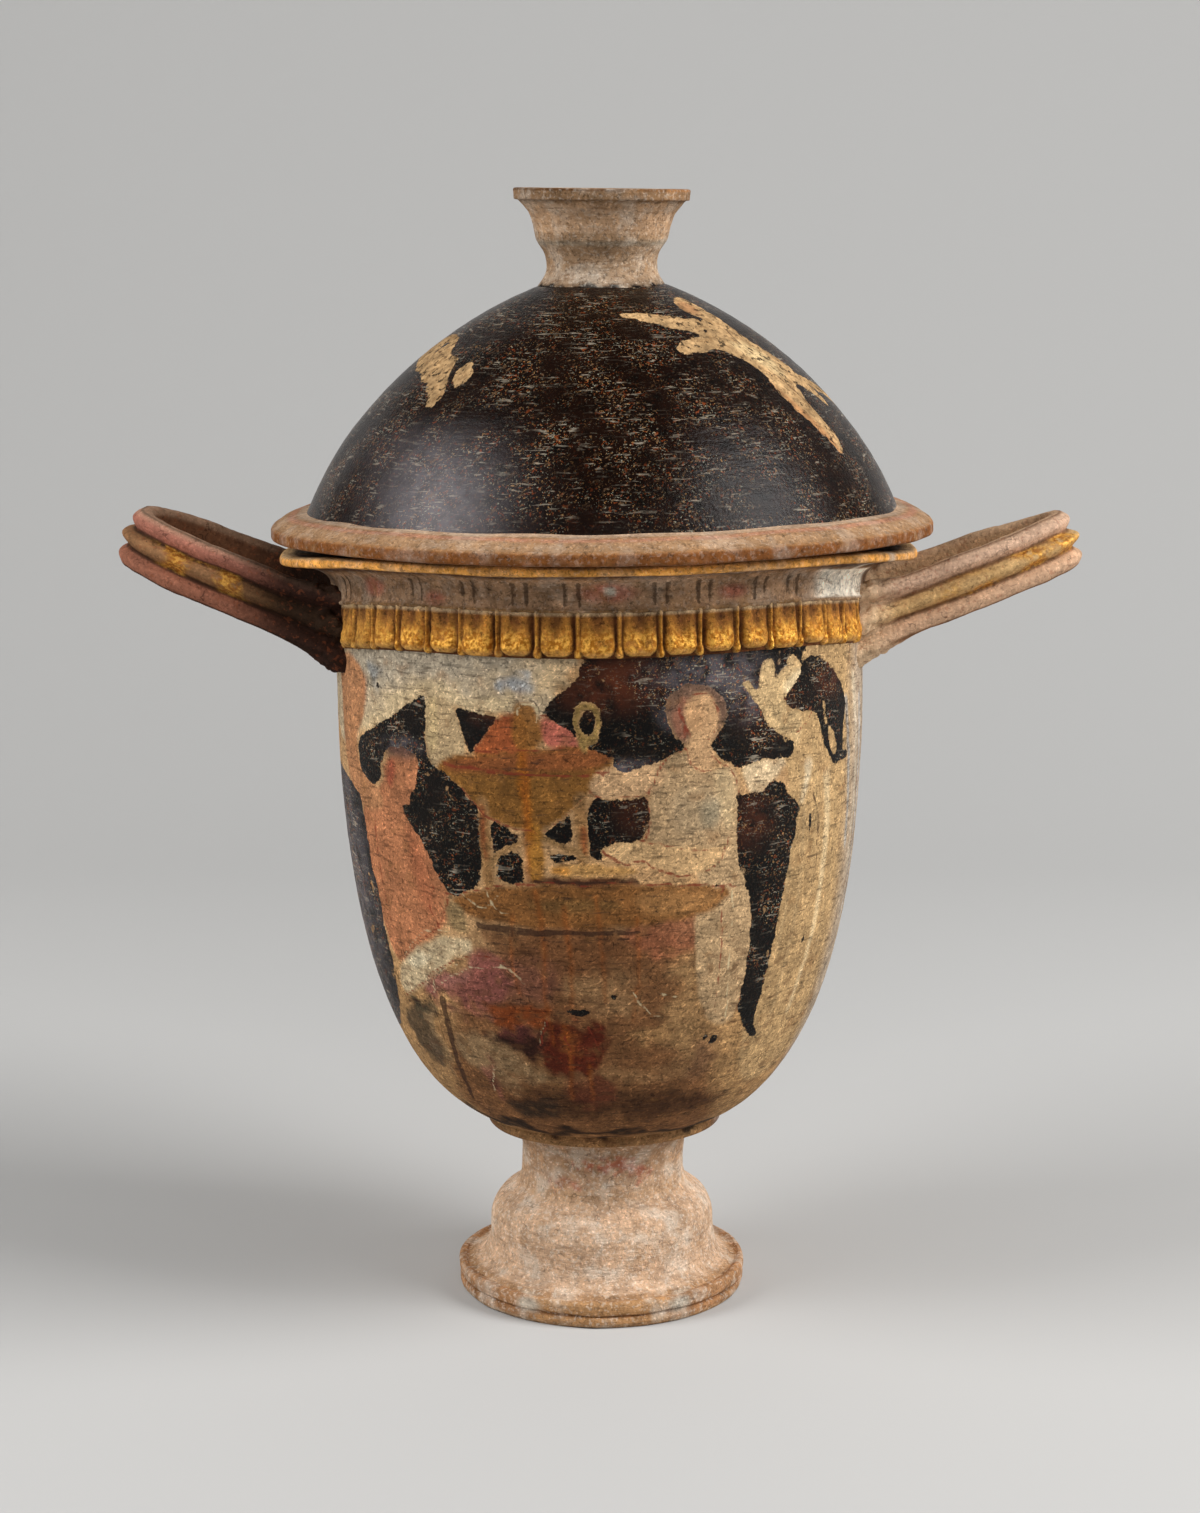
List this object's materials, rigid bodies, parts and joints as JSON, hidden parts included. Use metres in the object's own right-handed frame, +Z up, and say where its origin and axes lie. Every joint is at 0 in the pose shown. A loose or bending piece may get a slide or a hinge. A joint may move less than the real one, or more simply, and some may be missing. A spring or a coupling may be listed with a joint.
{
  "type": "lidded pyxis",
  "caption": "Lidded terracotta vessel on a stemmed foot, with ridged strap handles, an applied tongue frieze and a domed lid with a cup-shaped knob.",
  "frame": {"origin": "on the ground, under the middle of the foot", "axes": "+Z up, +X towards the right-hand handle, the painted front faces -Y"},
  "size_m": [0.361, 0.2472, 0.4206],
  "materials": {
    "painted_terracotta": "matte fired clay with worn slip, tempera-like paint and traces of gilding",
    "black_slip": "burnished black slip, rubbed, over buff clay"
  },
  "bodies": {
    "root": {"bowl": "painted_terracotta", "lid": "black_slip"}
  },
  "joints": []
}
